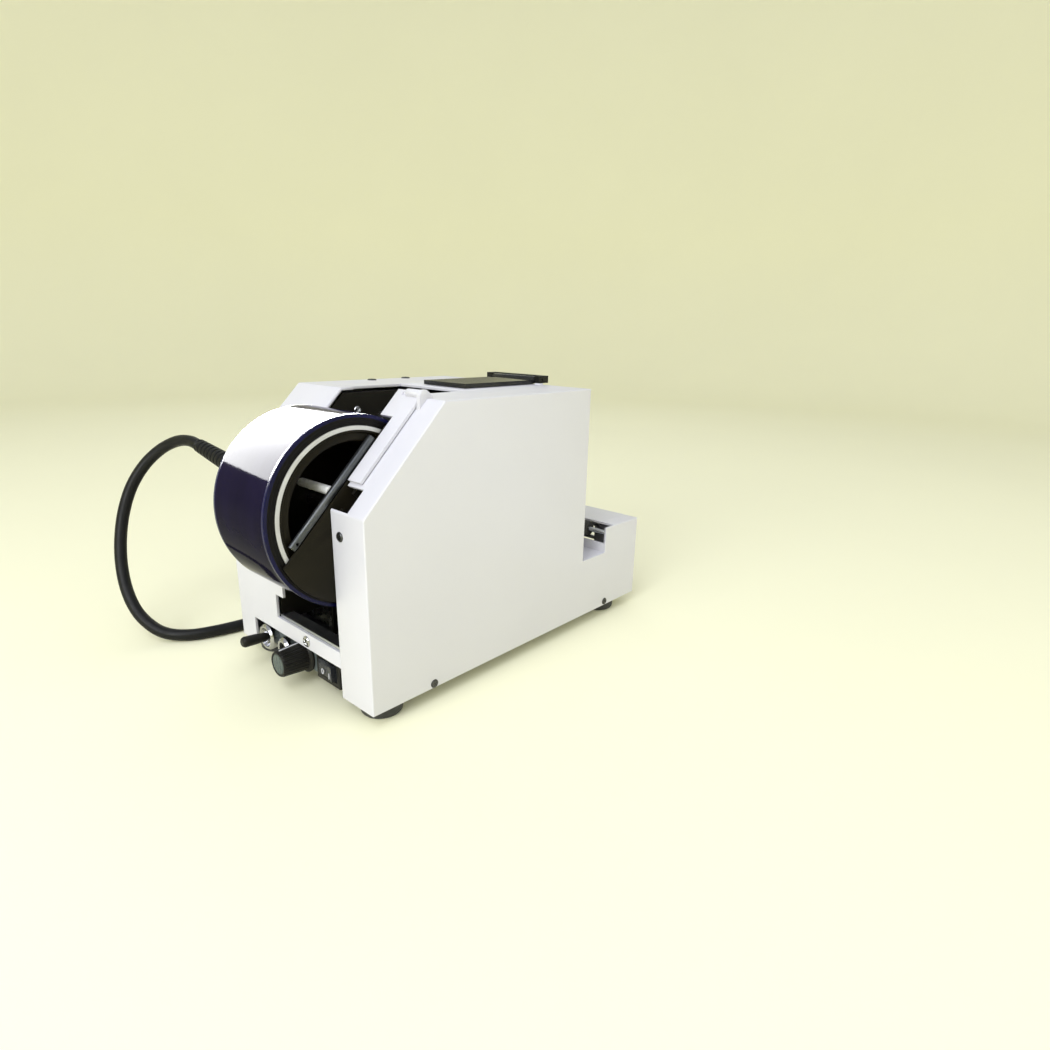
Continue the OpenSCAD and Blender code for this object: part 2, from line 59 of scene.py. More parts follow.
def extent(node):
    low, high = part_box(node)
    return (high - low) / mm


def middle(node):
    low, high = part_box(node)
    return (low + high) / 2


housing = dict(
    width=(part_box("far_cover")[1].y - corner.y) / mm,
    height=extent("near_cover").z,
    slantRun=48.1,  # how far back the slanted face reaches
    frontHeight=97.2,
)
slope = atan2(housing["height"] - housing["frontHeight"], housing["slantRun"])
offSlope = Vector((-sin(slope), 0, cos(slope)))
across = Vector((0, 1, 0))
outFront = Vector((-1, 0, 0))
upward = Vector((0, 0, 1))

# camera, first, because the lead's spread is measured against its view

view = dict(
    place=(-157.2, -233.07, 177.5),  # in the housing's lengths
    turn=(73.347, -1.215, -48.193),
    lens=22.469,
    shift=(-0.00122, 0.00206),
)
cameraData = bpy.data.cameras.new("camera")
cameraData.lens = view["lens"]
cameraData.sensor_width = 36
cameraData.sensor_fit = "HORIZONTAL"
cameraData.shift_x, cameraData.shift_y = view["shift"]
cameraData.clip_start = 0.01
camera = bpy.data.objects.new("camera", cameraData)
camera.location = at(*view["place"])
camera.rotation_euler = Euler([radians(a) for a in view["turn"]], "XYZ")
bpy.context.scene.collection.objects.link(camera)
bpy.context.scene.camera = camera
print("camera set")

# materials


# a mottled, slightly uneven finish; patch, streak and grain are in cycles per metre
def finish(name, colour, second=None, patch=25, rough=0.5, uneven=0.08, streak=(1, 1, 1), grain=900,
           bump=0.05, depth=0.00005, **sockets):
    made = bpy.data.materials.new(name)
    made.use_nodes = True
    nodes, links = made.node_tree.nodes, made.node_tree.links
    shader = nodes["Principled BSDF"]
    for key, value in sockets.items():
        shader.inputs[key.replace("_", " ")].default_value = value
    place = nodes.new("ShaderNodeTexCoord")
    drawn = nodes.new("ShaderNodeMapping")
    drawn.inputs["Scale"].default_value = streak
    links.new(place.outputs["Object"], drawn.inputs["Vector"])

    def noise(scale, detail):
        made = nodes.new("ShaderNodeTexNoise")
        made.inputs["Scale"].default_value = scale
        made.inputs["Detail"].default_value = detail
        links.new(drawn.outputs["Vector"], made.inputs["Vector"])
        return made.outputs["Fac"]

    def between(source, low, high):
        made = nodes.new("ShaderNodeMapRange")
        made.inputs["From Min"].default_value = 0.3
        made.inputs["From Max"].default_value = 0.7
        made.inputs["To Min"].default_value = low
        made.inputs["To Max"].default_value = high
        links.new(source, made.inputs["Value"])
        return made.outputs["Result"]

    mix = nodes.new("ShaderNodeMix")
    mix.data_type = "RGBA"
    mix.inputs[6].default_value = (*colour, 1)
    mix.inputs[7].default_value = (*(second or [c * 0.9 for c in colour]), 1)
    links.new(between(noise(patch, 5), 0, 1), mix.inputs[0])
    links.new(mix.outputs[2], shader.inputs["Base Color"])
    links.new(between(noise(patch * 3, 4), rough - uneven, rough + uneven), shader.inputs["Roughness"])
    relief = nodes.new("ShaderNodeBump")
    relief.inputs["Strength"].default_value = bump
    relief.inputs["Distance"].default_value = depth
    links.new(noise(grain, 3), relief.inputs["Height"])
    links.new(relief.outputs["Normal"], shader.inputs["Normal"])
    return made


# the same finish with fine rings round an axle that runs across the machine
def ringed(made, centre, rings, bump, depth, tint=None):
    nodes, links = made.node_tree.nodes, made.node_tree.links
    shader = nodes["Principled BSDF"]
    place = nodes.new("ShaderNodeTexCoord")
    shift = nodes.new("ShaderNodeVectorMath")
    shift.operation = "SUBTRACT"
    shift.inputs[1].default_value = centre
    flat = nodes.new("ShaderNodeVectorMath")
    flat.operation = "MULTIPLY"
    flat.inputs[1].default_value = (1, 0, 1)
    reach = nodes.new("ShaderNodeVectorMath")
    reach.operation = "LENGTH"
    wound = nodes.new("ShaderNodeTexNoise")
    wound.noise_dimensions = "1D"
    wound.inputs["Scale"].default_value = rings
    wound.inputs["Detail"].default_value = 2
    relief = nodes.new("ShaderNodeBump")
    relief.inputs["Strength"].default_value = bump
    relief.inputs["Distance"].default_value = depth
    links.new(place.outputs["Object"], shift.inputs[0])
    links.new(shift.outputs["Vector"], flat.inputs[0])
    links.new(flat.outputs["Vector"], reach.inputs[0])
    links.new(reach.outputs["Value"], wound.inputs["W"])
    links.new(wound.outputs["Fac"], relief.inputs["Height"])
    links.new(relief.outputs["Normal"], shader.inputs["Normal"])
    if tint:
        blend = nodes.new("ShaderNodeMix")
        blend.data_type = "RGBA"
        base = shader.inputs["Base Color"].links[0].from_socket
        blend.inputs[7].default_value = (*tint, 1)
        limit = nodes.new("ShaderNodeMapRange")
        limit.inputs["From Min"].default_value = 0.5
        limit.inputs["From Max"].default_value = 0.75
        links.new(wound.outputs["Fac"], limit.inputs["Value"])
        links.new(limit.outputs["Result"], blend.inputs[0])
        links.new(base, blend.inputs[6])
        links.new(blend.outputs[2], shader.inputs["Base Color"])
    return made


rollCentre = middle("tape_roll")
paint = finish("satin_white_paint", (0.655, 0.648, 0.71), (0.64, 0.633, 0.695), patch=14, rough=0.42,
               grain=1500, bump=0.09, depth=0.00004, Coat_Weight=0.12, Coat_Roughness=0.3)
zinc = finish("zinc_plate", (0.50, 0.52, 0.55), (0.56, 0.57, 0.59), patch=90, rough=0.38, uneven=0.05,
              grain=2600, bump=0.03, Metallic=1.0)
darkPaint = finish("matt_dark_paint", (0.011, 0.010, 0.007), (0.008, 0.007, 0.005), patch=30, rough=0.6,
                   grain=2400, bump=0.05, Specular_IOR_Level=0.25, IOR=1.3)
# the keeper's and drum's own dark paint, also used as painted shade on the core's inner wall and inner end
# face
keeperPaintAndCoreShade = finish("keeper_paint_and_core_shade", (0.008, 0.007, 0.004), (0.014, 0.011, 0.007), patch=26, rough=0.44,
                     grain=2200, bump=0.05, Specular_IOR_Level=0.25, IOR=1.3)
groundSteel = finish("ground_steel", (0.56, 0.57, 0.57), (0.42, 0.43, 0.44), patch=60, rough=0.28,
                     uneven=0.1, streak=(1, 0.08, 1), grain=2500, bump=0.12, Metallic=1.0)
# painted shade: the keeper bar's steel colour is darkened well below bare steel, standing for the shade it
# sits in inside the machine
shadeDarkRodSteel = finish("shade_darkened_rod_steel", (0.13, 0.135, 0.14), (0.07, 0.075, 0.08), patch=45, rough=0.42,
                  uneven=0.1, grain=2200, bump=0.1, Metallic=0.9)
bladeSteel = finish("blade_steel", (0.70, 0.71, 0.73), (0.60, 0.61, 0.63), patch=90, rough=0.18,
                    streak=(1, 1, 0.06), grain=3000, Metallic=1.0)
chrome = finish("chrome_plate", (0.50, 0.50, 0.51), (0.42, 0.42, 0.44), patch=90, rough=0.16, uneven=0.05,
                Metallic=1.0)
whitePlastic = finish("white_plastic", (0.84, 0.84, 0.84), (0.80, 0.80, 0.81), patch=60, rough=0.24)
film = finish("tape_film", (0.0045, 0.0035, 0.010), (0.0065, 0.005, 0.016), patch=22, rough=0.06, uneven=0.02,
              streak=(1, 6, 1), grain=60, bump=0.05, depth=0.0003, Specular_IOR_Level=0.3, IOR=1.07)
filmRim = finish("tape_film_rim", (0.004, 0.004, 0.042), (0.003, 0.003, 0.026), patch=90, rough=0.2,
                 Specular_IOR_Level=0.2)
filmSide = ringed(
    finish("tape_wound_side", (0.0045, 0.004, 0.0035), (0.006, 0.005, 0.005), patch=70, rough=0.4,
           Specular_IOR_Level=0.1),
    rollCentre, 2600, 0.3, 0.0001, tint=(0.007, 0.006, 0.010))
coreCard = ringed(
    finish("pale_core", (0.56, 0.56, 0.57), (0.48, 0.47, 0.47), patch=90, rough=0.5),
    rollCentre, 3200, 0.2, 0.0001)
panelGrey = finish("panel_grey", (0.105, 0.124, 0.126), (0.085, 0.102, 0.106), patch=40, rough=0.48,
                   grain=2200, bump=0.12)
blackPlastic = finish("moulded_black", (0.009, 0.009, 0.008), (0.014, 0.013, 0.011), patch=90, rough=0.42,
                      grain=2600, bump=0.12, Specular_IOR_Level=0.35, IOR=1.35)
rockerPlastic = finish("rocker_plastic", (0.020, 0.022, 0.028), (0.026, 0.028, 0.034), patch=70, rough=0.26,
                       grain=1900, bump=0.05)
capPlastic = finish("knob_cap", (0.085, 0.115, 0.120), (0.060, 0.085, 0.090), patch=160, rough=0.3,
                    streak=(1, 1, 0.1), grain=2200, Metallic=0.4)
markWhite = finish("mark_white", (0.62, 0.62, 0.68), (0.55, 0.55, 0.60), patch=200, rough=0.5)
rubber = finish("ground_rubber", (0.022, 0.021, 0.020), (0.034, 0.033, 0.031), patch=200, rough=0.75,
                grain=2600, bump=0.4, depth=0.0001)
silicone = finish("silicone", (0.64, 0.60, 0.50), (0.58, 0.54, 0.44), patch=120, rough=0.55,
                  Subsurface_Weight=0.15)
nylon = finish("natural_nylon", (0.74, 0.72, 0.65), (0.69, 0.66, 0.58), patch=90, rough=0.4,
               Subsurface_Weight=0.1)
bronze = finish("sintered_bronze", (0.44, 0.28, 0.12), (0.30, 0.18, 0.08), patch=500, rough=0.42,
                grain=2600, bump=0.3, Metallic=1.0)
canSteel = finish("plated_can", (0.55, 0.55, 0.55), (0.44, 0.44, 0.45), patch=120, rough=0.3, Metallic=1.0)
copper = finish("enamelled_copper", (0.46, 0.16, 0.05), (0.34, 0.10, 0.03), patch=200, rough=0.3,
                Metallic=0.9, Coat_Weight=0.6)
boardGreen = finish("solder_mask", (0.008, 0.085, 0.030), (0.015, 0.13, 0.05), patch=420, rough=0.3,
                    streak=(1, 1, 0.4), Coat_Weight=0.5)
smoked = finish("smoked_acrylic", (0.06, 0.06, 0.06), (0.05, 0.05, 0.05), patch=30, rough=0.08, uneven=0.02,
                bump=0.01, Transmission_Weight=0.6, IOR=1.25)
darkScrew = finish("blackened_screw", (0.10, 0.10, 0.10), (0.05, 0.05, 0.05), patch=400, rough=0.34,
                   Metallic=0.9)
footRubber = finish("foot_rubber", (0.030, 0.031, 0.032), (0.045, 0.046, 0.047), patch=150, rough=0.62,
                    grain=1700, bump=0.3)
leadSkin = finish("soft_lead_skin", (0.0045, 0.0045, 0.0045), (0.008, 0.008, 0.008), patch=120, rough=0.44,
                  grain=1600, bump=0.08, Specular_IOR_Level=0.22)
print("materials made:", len(bpy.data.materials))

# mesh helpers


def linked(name, data, *materials):
    made = bpy.data.objects.new(name, data)
    bpy.context.scene.collection.objects.link(made)
    for material in materials:
        data.materials.append(material)
    return made


def shaped(name, bm, *materials, crease=38):
    bmesh.ops.recalc_face_normals(bm, faces=bm.faces)
    mesh = bpy.data.meshes.new(name)
    bm.to_mesh(mesh)
    bm.free()
    mesh.shade_smooth()
    mesh.set_sharp_from_angle(angle=radians(crease))
    return linked(name, mesh, *materials)


def attach(piece, body, slotName, *nodes):
    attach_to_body(piece, body)
    if nodes:
        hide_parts(*nodes)
    return piece


def standFor(piece, node, *others):
    return attach(piece, bodyOf[node], slotOf[node], node, *others)


def breadth(face):
    return 2 * face.calc_area() / max(face.calc_perimeter(), 1e-9)


# a CAD node's own mesh with its edges eased; fold is the radius where the sheet is bent, in mm
def eased(node, material, edge=0.3, fold=None, steps=2):
    bm = bmesh.new()
    bm.from_mesh(frame["nodes"][node].data)
    bmesh.ops.remove_doubles(bm, verts=bm.verts, dist=2e-6)
    bmesh.ops.dissolve_limit(bm, angle_limit=radians(0.6), verts=bm.verts, edges=bm.edges)
    bmesh.ops.recalc_face_normals(bm, faces=bm.faces)
    weight = bm.edges.layers.float.new("bevel_weight_edge")
    widest = fold or edge
    for line in bm.edges:
        if len(line.link_faces) == 2 and line.calc_face_angle(0) > radians(26):
            bent = fold and line.is_convex and min(breadth(face) for face in line.link_faces) > 1.9 * mm
            line[weight] = 1 if bent else edge / widest
    mesh = bpy.data.meshes.new(node + "_eased")
    bm.to_mesh(mesh)
    bm.free()
    mesh.shade_smooth()
    made = linked(node + "_eased", mesh, material)
    bevel = made.modifiers.new("eased edges", "BEVEL")
    bevel.limit_method = "WEIGHT"
    bevel.width = widest * mm
    bevel.segments = 4 if fold else steps
    bevel.harden_normals = True
    return standFor(made, node)


# rounds every corner of an outline with a short arc
def filleted(points, radius, steps=4, closed=True):
    made = []
    for i, point in enumerate(points):
        here = Vector(point)
        if not closed and i in (0, len(points) - 1):
            made.append(here)
            continue
        back = Vector(points[i - 1]) - here
        on = Vector(points[(i + 1) % len(points)]) - here
        half = back.angle(on) / 2
        if half > pi / 2 - 0.03:
            made.append(here)
            continue
        cut = min(radius / tan(half), back.length * 0.46, on.length * 0.46)
        arc = cut * tan(half)
        hub = here + (back.normalized() + on.normalized()).normalized() * arc / sin(half)
        first = here + back.normalized() * cut - hub
        last = here + on.normalized() * cut - hub
        for k in range(steps + 1):
            made.append(hub + first.lerp(last, k / steps).normalized() * arc)
    return made


# turns an outline of (radius, along) in mm round an axis; ring joins its last point to its first
def turned(name, material, centre, axis, profile, steps=72, ring=False, flute=None, extra=(), band=None):
    axis = axis.normalized()
    side = axis.orthogonal().normalized()
    other = axis.cross(side)
    bm = bmesh.new()
    rows = []
    for radius, along in profile:
        hub = centre + axis * along * mm
        if radius < 1e-6:
            rows.append([bm.verts.new(hub)])
            continue
        row = []
        for k in range(steps):
            angle = 2 * pi * k / steps
            reach = (flute(radius, along, angle) if flute else radius) * mm
            row.append(bm.verts.new(hub + reach * (cos(angle) * side + sin(angle) * other)))
        rows.append(row)
    pairs = list(zip(range(len(rows)), range(1, len(rows)))) + ([(len(rows) - 1, 0)] if ring else [])
    for i, j in pairs:
        low, high = rows[i], rows[j]
        for k in range(steps):
            m = (k + 1) % steps
            if len(low) == 1 and len(high) == 1:
                break
            if len(low) == 1:
                face = bm.faces.new((low[0], high[k], high[m]))
            elif len(high) == 1:
                face = bm.faces.new((low[k], high[0], low[m]))
            else:
                face = bm.faces.new((low[k], high[k], high[m], low[m]))
            if band:
                face.material_index = band((Vector(profile[i]) + Vector(profile[j])) / 2)
    return shaped(name, bm, material, *extra)


def tube(name, material, points, radius, sides=12):
    bm = bmesh.new()
    rows = []
    normal = None
    for i, point in enumerate(points):
        way = (points[min(i + 1, len(points) - 1)] - points[max(i - 1, 0)]).normalized()
        normal = way.orthogonal() if normal is None else normal - way * normal.dot(way)
        normal.normalize()
        other = way.cross(normal)
        rows.append([
            bm.verts.new(point + radius * mm * (cos(angle) * normal + sin(angle) * other))
            for angle in (2 * pi * k / sides for k in range(sides))
        ])
    for low, high in zip(rows, rows[1:]):
        for k in range(sides):
            bm.faces.new((low[k], low[(k + 1) % sides], high[(k + 1) % sides], high[k]))
    bm.faces.new(rows[0])
    bm.faces.new(rows[-1][::-1])
    return shaped(name, bm, material)


# a block with rounded edges, between two corners
def softBlock(name, material, low, high, edge, steps=3):
    bm = bmesh.new()
    bmesh.ops.create_cube(bm, size=1)
    for vert in bm.verts:
        vert.co = (low + high) / 2 + Vector(a * b for a, b in zip(vert.co, high - low))
    bmesh.ops.bevel(bm, geom=bm.edges[:], offset=edge * mm, segments=steps, affect="EDGES", profile=0.5)
    return shaped(name, bm, material)


# a plate with a rounded rim: its outline lies in the plane of two directions and it rises along the third
def padPlate(name, material, centre, first, second, outline, thick, edge=0.2):
    out = first.cross(second).normalized()
    bm = bmesh.new()
    rows = []
    hub = sum((Vector(p) for p in outline), Vector((0, 0))) / len(outline)
    for inset, rise in ((0, 0), (0, thick - edge), (edge * 0.3, thick - edge * 0.3), (edge, thick)):
        row = []
        for point in outline:
            p = Vector(point)
            p -= (p - hub).normalized() * inset
            row.append(bm.verts.new(centre + (first * p.x + second * p.y + out * rise) * mm))
        rows.append(row)
    for low, high in zip(rows, rows[1:]):
        for k in range(len(outline)):
            m = (k + 1) % len(outline)
            bm.faces.new((low[k], low[m], high[m], high[k]))
    bm.faces.new(rows[0][::-1])
    bm.faces.new(rows[-1])
    return shaped(name, bm, material)


def joined(name, parts):
    with bpy.context.temp_override(active_object=parts[0], selected_editable_objects=parts,
                                   selected_objects=parts, object=parts[0]):
        bpy.ops.object.join()
    parts[0].name = name
    return parts[0]


def applied(piece):
    shapes = bpy.context.evaluated_depsgraph_get()
    old = piece.data
    piece.data = bpy.data.meshes.new_from_object(piece.evaluated_get(shapes))
    piece.modifiers.clear()
    bpy.data.meshes.remove(old)
    return piece


def cutBy(piece, cutter):
    cut = piece.modifiers.new("cut", "BOOLEAN")
    cut.object = cutter
    cut.solver = "EXACT"
    applied(piece)
    bpy.data.objects.remove(cutter)
    return piece


# a domed head with a cross recess, standing on a surface along its outward direction
def screwHead(name, material, foot, out, radius, height):
    dome = [(0, -0.3), (radius, -0.3), (radius, height * 0.35), (radius * 0.82, height * 0.8), (0, height)]
    head = turned(name, material, foot, out, filleted(dome, 0.25, closed=False), steps=40)
    side = out.orthogonal().normalized()
    other = out.cross(side)
    arms = []
    for way, off in ((side, other), (other, side)):
        centre = foot + out * (height * 0.675 + 0.5) * mm
        bm = bmesh.new()
        bmesh.ops.create_cube(bm, size=1)
        for vert in bm.verts:
            u, v, w = vert.co
            vert.co = centre + (way * u * radius * 1.24 + off * v * radius * 0.26
                                + out * w * (height * 0.65 + 1)) * mm
        arms.append(shaped("arm", bm, darkPaint))
    for arm in arms:
        cutBy(head, arm)
    return head


def curveThrough(points, steps):
    made = []
    ends = [2 * points[0] - points[1], *points, 2 * points[-1] - points[-2]]
    for i in range(1, len(ends) - 2):
        a, b, c, d = ends[i - 1:i + 3]
        for k in range(steps):
            t = k / steps
            made.append(0.5 * (2 * b + (c - a) * t + (2 * a - 5 * b + 4 * c - d) * t * t
                               + (3 * b - a - 3 * c + d) * t ** 3))
    return made + [points[-1]]


print("helpers ready")

# mains lead: out of its strain relief, down to the table, into a flat coil, and on to its plug

lead = dict(
    diameter=extent("cord_coil").z / 2,
    route=[(8, 182, 106), (6.5, 192, 107.8), (3, 203, 106.5), (-3.5, 212.5, 101), (-12, 218.5, 91.5),
           (-20.5, 220.5, 79), (-27.5, 219, 64.5), (-33, 214.5, 49.5), (-37, 207.5, 34.5), (-39, 198.5, 20.5),
           (-38.5, 188, 9), (-35, 177.5, 1.2), (-29.5, 168.5, -3), (-20, 160, -4.3), (-7, 154.5, -4.3),
           (9, 151.5, -4.3), (26, 151, -4.3), (44, 151.5, -4.3), (62, 152, -4.3), (86, 152.8, -4.3)],
    coilCentre=(100, 202.5),
    outerTurn=49.5,
    layerTurns=2.75,  # turns in each of the two layers
    crossTurn=0.5,  # part of a turn spent climbing to the upper layer
    tuck=1.0,  # how far the climbing part draws in
    steps=36,  # points for each turn
    layerRise=7.0,
)


# bottom layer winds inwards, the lead climbs, and the top layer winds back out
def coilPoints():
    made = []
    low, high = lead["layerTurns"], lead["layerTurns"] + lead["crossTurn"]
    whole = high + lead["layerTurns"]
    base = lead["route"][-1][2]
    inner = lead["outerTurn"] - lead["diameter"] * low
    for k in range(int(round(whole * lead["steps"])) + 1):
        turn = k / lead["steps"]
        t = min(max((turn - low) / (high - low), 0), 1)
        climb = t * t * (3 - 2 * t)
        radius = inner - lead["tuck"] * sin(pi * t) ** 2
        if turn < low:
            radius = lead["outerTurn"] - lead["diameter"] * turn
        if turn > high:
            radius = inner + lead["diameter"] * (turn - high)
        angle = 2 * pi * turn - pi / 2
        x, y = lead["coilCentre"]
        made.append(at(x + radius * cos(angle), y + radius * sin(angle), base + climb * lead["layerRise"]))
    return made


coil = coilPoints()
tail = [coil[-1] + Vector((x, 0, z)) * mm for x, z in ((7, -0.1), (14, -0.5), (21.5, -1))]
leadLine = curveThrough([at(*p) for p in lead["route"]] + [coil[0]], 5)[:-1] + coil + tail
leadCurve = bpy.data.curves.new("mains_lead", "CURVE")
leadCurve.dimensions = "3D"
spline = leadCurve.splines.new("POLY")
spline.points.add(len(leadLine) - 1)
for knot, point in zip(spline.points, leadLine):
    knot.co = (*point, 1)
leadCurve.bevel_depth = lead["diameter"] / 2 * mm
leadCurve.bevel_resolution = 4
leadCurve.use_fill_caps = True
mainsLead = standFor(linked("mains_lead", leadCurve, leadSkin), "power_cord", "cord_coil")

relief = dict(foot=at(15, housing["width"], 93), flange=7.5, root=6.4, tip=4.2, ribs=14)
reliefWay = (leadLine[0] - relief["foot"]).normalized()
reliefLong = (leadLine[0] - relief["foot"]).length / mm
flangeLine = [(0, -3.5), (4.9, -3.5), (4.9, 0), (relief["flange"], 0), (relief["flange"], 2.6), (0, 2.9)]
flange = turned("flange", leadSkin, relief["foot"], across, filleted(flangeLine, 0.4, 3, closed=False), 48)
outline = [(0, 1.5), (4.0, 1.5), (relief["root"], 3.1)]
for k in range(relief["ribs"]):  # ribs with narrow gaps between them
    start = 3.6 + k * 3.5
    thick = relief["root"] + (relief["tip"] - relief["root"]) * (start / reliefLong)
    outline += [(thick, start), (thick - 0.1, start + 2.3)]
    outline += [(thick - 0.7, start + 2.5), (thick - 0.7, start + 3.3)]
outline += [(relief["tip"], reliefLong - 0.7), (relief["tip"] - 0.2, reliefLong), (0, reliefLong)]
sleeve = turned("sleeve", leadSkin, relief["foot"], reliefWay, filleted(outline, 0.25, 3, closed=False), 48)
reliefPiece = standFor(joined("strain_relief_moulding", [flange, sleeve]), "strain_relief")

plug = dict(body=24, high=18, bodyStart=25, bodyLength=24, pins=9.5, pinRadius=2, pinLength=19, boot=26,
            ridges=4)
plugLow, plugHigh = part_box("cord_plug")
plugY = (plugLow.y + plugHigh.y) / 2
plugX = plugLow.x + 0.6 * mm
bootZ = coil[-1].z - 1 * mm
bootLine = [(0, 0), (lead["diameter"] / 2 + 0.5, 0)]
for k in range(6):
    start = 1.5 + k * 3.6
    thick = 4.2 + 3.0 * start / plug["boot"]
    bootLine += [(thick, start), (thick + 0.2, start + 2.3)]
    bootLine += [(thick - 0.8, start + 2.5), (thick - 0.8, start + 3.4)]
bootLine += [(7.3, plug["boot"] - 1.5), (7.4, plug["boot"]), (0, plug["boot"])]
boot = turned("boot", leadSkin, Vector((plugX, plugY, bootZ)), -outFront,
              filleted(bootLine, 0.3, 3, closed=False), 48)
bodyLow = Vector((plugX + plug["bodyStart"] * mm, plugY - plug["body"] / 2 * mm, plugLow.z + 0.2 * mm))
bodyHigh = bodyLow + Vector((plug["bodyLength"], plug["body"], plug["high"])) * mm
block = softBlock("block", leadSkin, bodyLow, bodyHigh, 4, 5)
parts = [boot, block]
for side in (-1, 1):  # finger ridges on both flanks
    for k in range(plug["ridges"]):
        x = bodyLow.x + (6 + 3.4 * k) * mm
        y = plugY + side * (plug["body"] / 2 + 0.05) * mm
        spread = [Vector((x, y, bodyLow.z + z * mm)) for z in (4.5, 7, 9, 11, 13.5)]
        parts.append(tube("ridge", leadSkin, spread, 0.7, 8))
for side in (-1, 1):
    pinEnd = plug["pinLength"] - 0.2
    pin = [(0, -2), (plug["pinRadius"], -2), (plug["pinRadius"], pinEnd), (0, pinEnd)]
    foot = Vector((bodyHigh.x, plugY + side * plug["pins"] * mm, plugLow.z + 9.5 * mm))
    parts.append(turned("pin", chrome, foot, -outFront, filleted(pin, 1.2, 4, closed=False), 32))
plugPiece = standFor(joined("mains_plug", parts), "cord_plug")

# sheet-metal covers and the frame behind them

folded = dict(near_cover=1.3, far_cover=1.3, top_cover=None, rear_wall=None, slot_tray=1.2, rear_cover=1.3)
for node, fold in folded.items():
    eased(node, paint, edge=0.25, fold=fold)
for node in ("roll_gate", "gate_hinge"):
    eased(node, paint, edge=0.25)
for node in ("partition_wall", "near_frame_plate"):
    eased(node, darkPaint, edge=0.2)
for node in ("base_plate", "front_rail"):
    eased(node, zinc, edge=0.2)
print("covers folded")

# plain frame parts that keep their CAD shape with eased edges

plain = dict(
    frame_spacers=(groundSteel, 0.3), roll_axle=(groundSteel, 0.4), keeper_bar=(shadeDarkRodSteel, 0.35),
    roller_shafts=(groundSteel, 0.25), feed_shaft=(groundSteel, 0.3), feed_gear=(nylon, 0.12),
    motor_pinion=(bronze, 0.1), bearing_bushes=(bronze, 0.2), pinch_arm=(groundSteel, 0.25),
    drive_motor=(canSteel, 0.5), blade_guides=(groundSteel, 0.2), lower_anvil=(groundSteel, 0.2),
    cutter_solenoid=(darkPaint, 0.3), cutter_plunger=(groundSteel, 0.3), cutter_blade=(bladeSteel, 0.08),
    trigger_switch=(blackPlastic, 0.3), trigger_lever=(groundSteel, 0.3), control_board=(boardGreen, 0.1),
    power_supply=(canSteel, 0.4), control_panel=(blackPlastic, 0.2), switch_housing=(blackPlastic, 0.5),
    dial_pot=(canSteel, 0.3), lid_hinge_bar=(blackPlastic, 0.4), smoked_lid=(smoked, 0.35),
    tape_web=(film, 0.08), roll_keeper=(keeperPaintAndCoreShade, 0.3), spool_drum=(keeperPaintAndCoreShade, 0.4),
)
for node, (material, edge) in plain.items():
    eased(node, material, edge=edge)
print("frame parts eased:", len(plain))

# roll of tape

# paintedShade is the width in mm of the painted shade band on the core's near end face
roll = dict(radius=extent("tape_roll").x / 2, width=extent("tape_roll").y, core=extent("tape_core").x / 2,
            bore=extent("spool_drum").x / 2, rim=1.7, rimDepth=1.8, paintedShade=1.35, layers=18)


def woundFace(start, out):
    made = []
    for k in range(roll["layers"] + 1):
        radius = roll["core"] + (roll["radius"] - 0.35 - roll["core"]) * k / roll["layers"]
        lift = 0.05 * sin(k * 2.4) + 0.04 * sin(k * 5.1)  # layers never wind quite level
        made.append((radius, start + out * lift))
    return made


half = roll["width"] / 2
nearFace = woundFace(-half + 0.1, -1)
farFace = woundFace(half - 0.1, 1)
outside = [(roll["radius"] - 0.05, -half + 0.2), (roll["radius"], -half + 0.5),
           (roll["radius"], -half + roll["rim"]), (roll["radius"], half - roll["rim"]),
           (roll["radius"], half - 0.5), (roll["radius"] - 0.05, half - 0.2)]


def rollBand(middlePoint):
    if middlePoint.x < roll["radius"] - roll["rimDepth"]:
        return 2
    return 1 if abs(middlePoint.y) > half - roll["rim"] else 0


standFor(turned("wound_tape", film, rollCentre, across, nearFace + outside + farFace[::-1], 160, ring=True,
                extra=(filmRim, filmSide), band=rollBand), "tape_roll")
coreLine = filleted([(roll["bore"] + 0.02, -half + 0.05), (roll["core"] - 0.05, -half + 0.05),
                     (roll["core"] - 0.05, half - 0.05), (roll["bore"] + 0.02, half - 0.05)], 0.7, 5)
coreLine.insert(6, Vector((roll["bore"] + roll["paintedShade"], -half + 0.05)))  # painted shade: the core's inner wall and inner end face take the dark keeper paint for the shadow inside the core
standFor(turned("card_core", coreCard, rollCentre, across, coreLine, steps=144, ring=True,
                extra=(keeperPaintAndCoreShade,), band=lambda point: 1 if point.x < roll["bore"] + roll["paintedShade"] else 0),
         "tape_core")

axle = dict(x=15.6, z=92.6)
stud = dict(offset=17.6, start=29.5, end=57, radius=2.2)
studFoot = at(axle["x"], stud["start"], axle["z"]) + offSlope * stud["offset"] * mm
studLine = [(0, 0), (stud["radius"], 0), (stud["radius"], 25), (1.6, stud["end"] - stud["start"]),
            (0, stud["end"] - stud["start"])]
studLine = filleted(studLine, 0.7, 4, closed=False)
standFor(turned("keeper_stud_rod", whitePlastic, studFoot, across, studLine, 36), "keeper_stud")


def spring(name, node, centre, radius, pitch, turns, wire):
    points = []
    for k in range(turns * 28 + 1):
        angle = 2 * pi * k / 28
        points.append(centre + Vector((radius * cos(angle), pitch * k / 28, -radius * sin(angle))) * mm)
    return standFor(tube(name, groundSteel, points, wire, 10), node)


spring("drag_spring_coil", "drag_spring", at(axle["x"], 78.9, axle["z"]), 5.6, 1.4, 4, 0.55)
spring("pinch_spring_coil", "pinch_spring", at(100, 46, 76), 5.5, 1.6, 5, 0.6)
print("roll and keeper built")

# rollers, ground and grooved


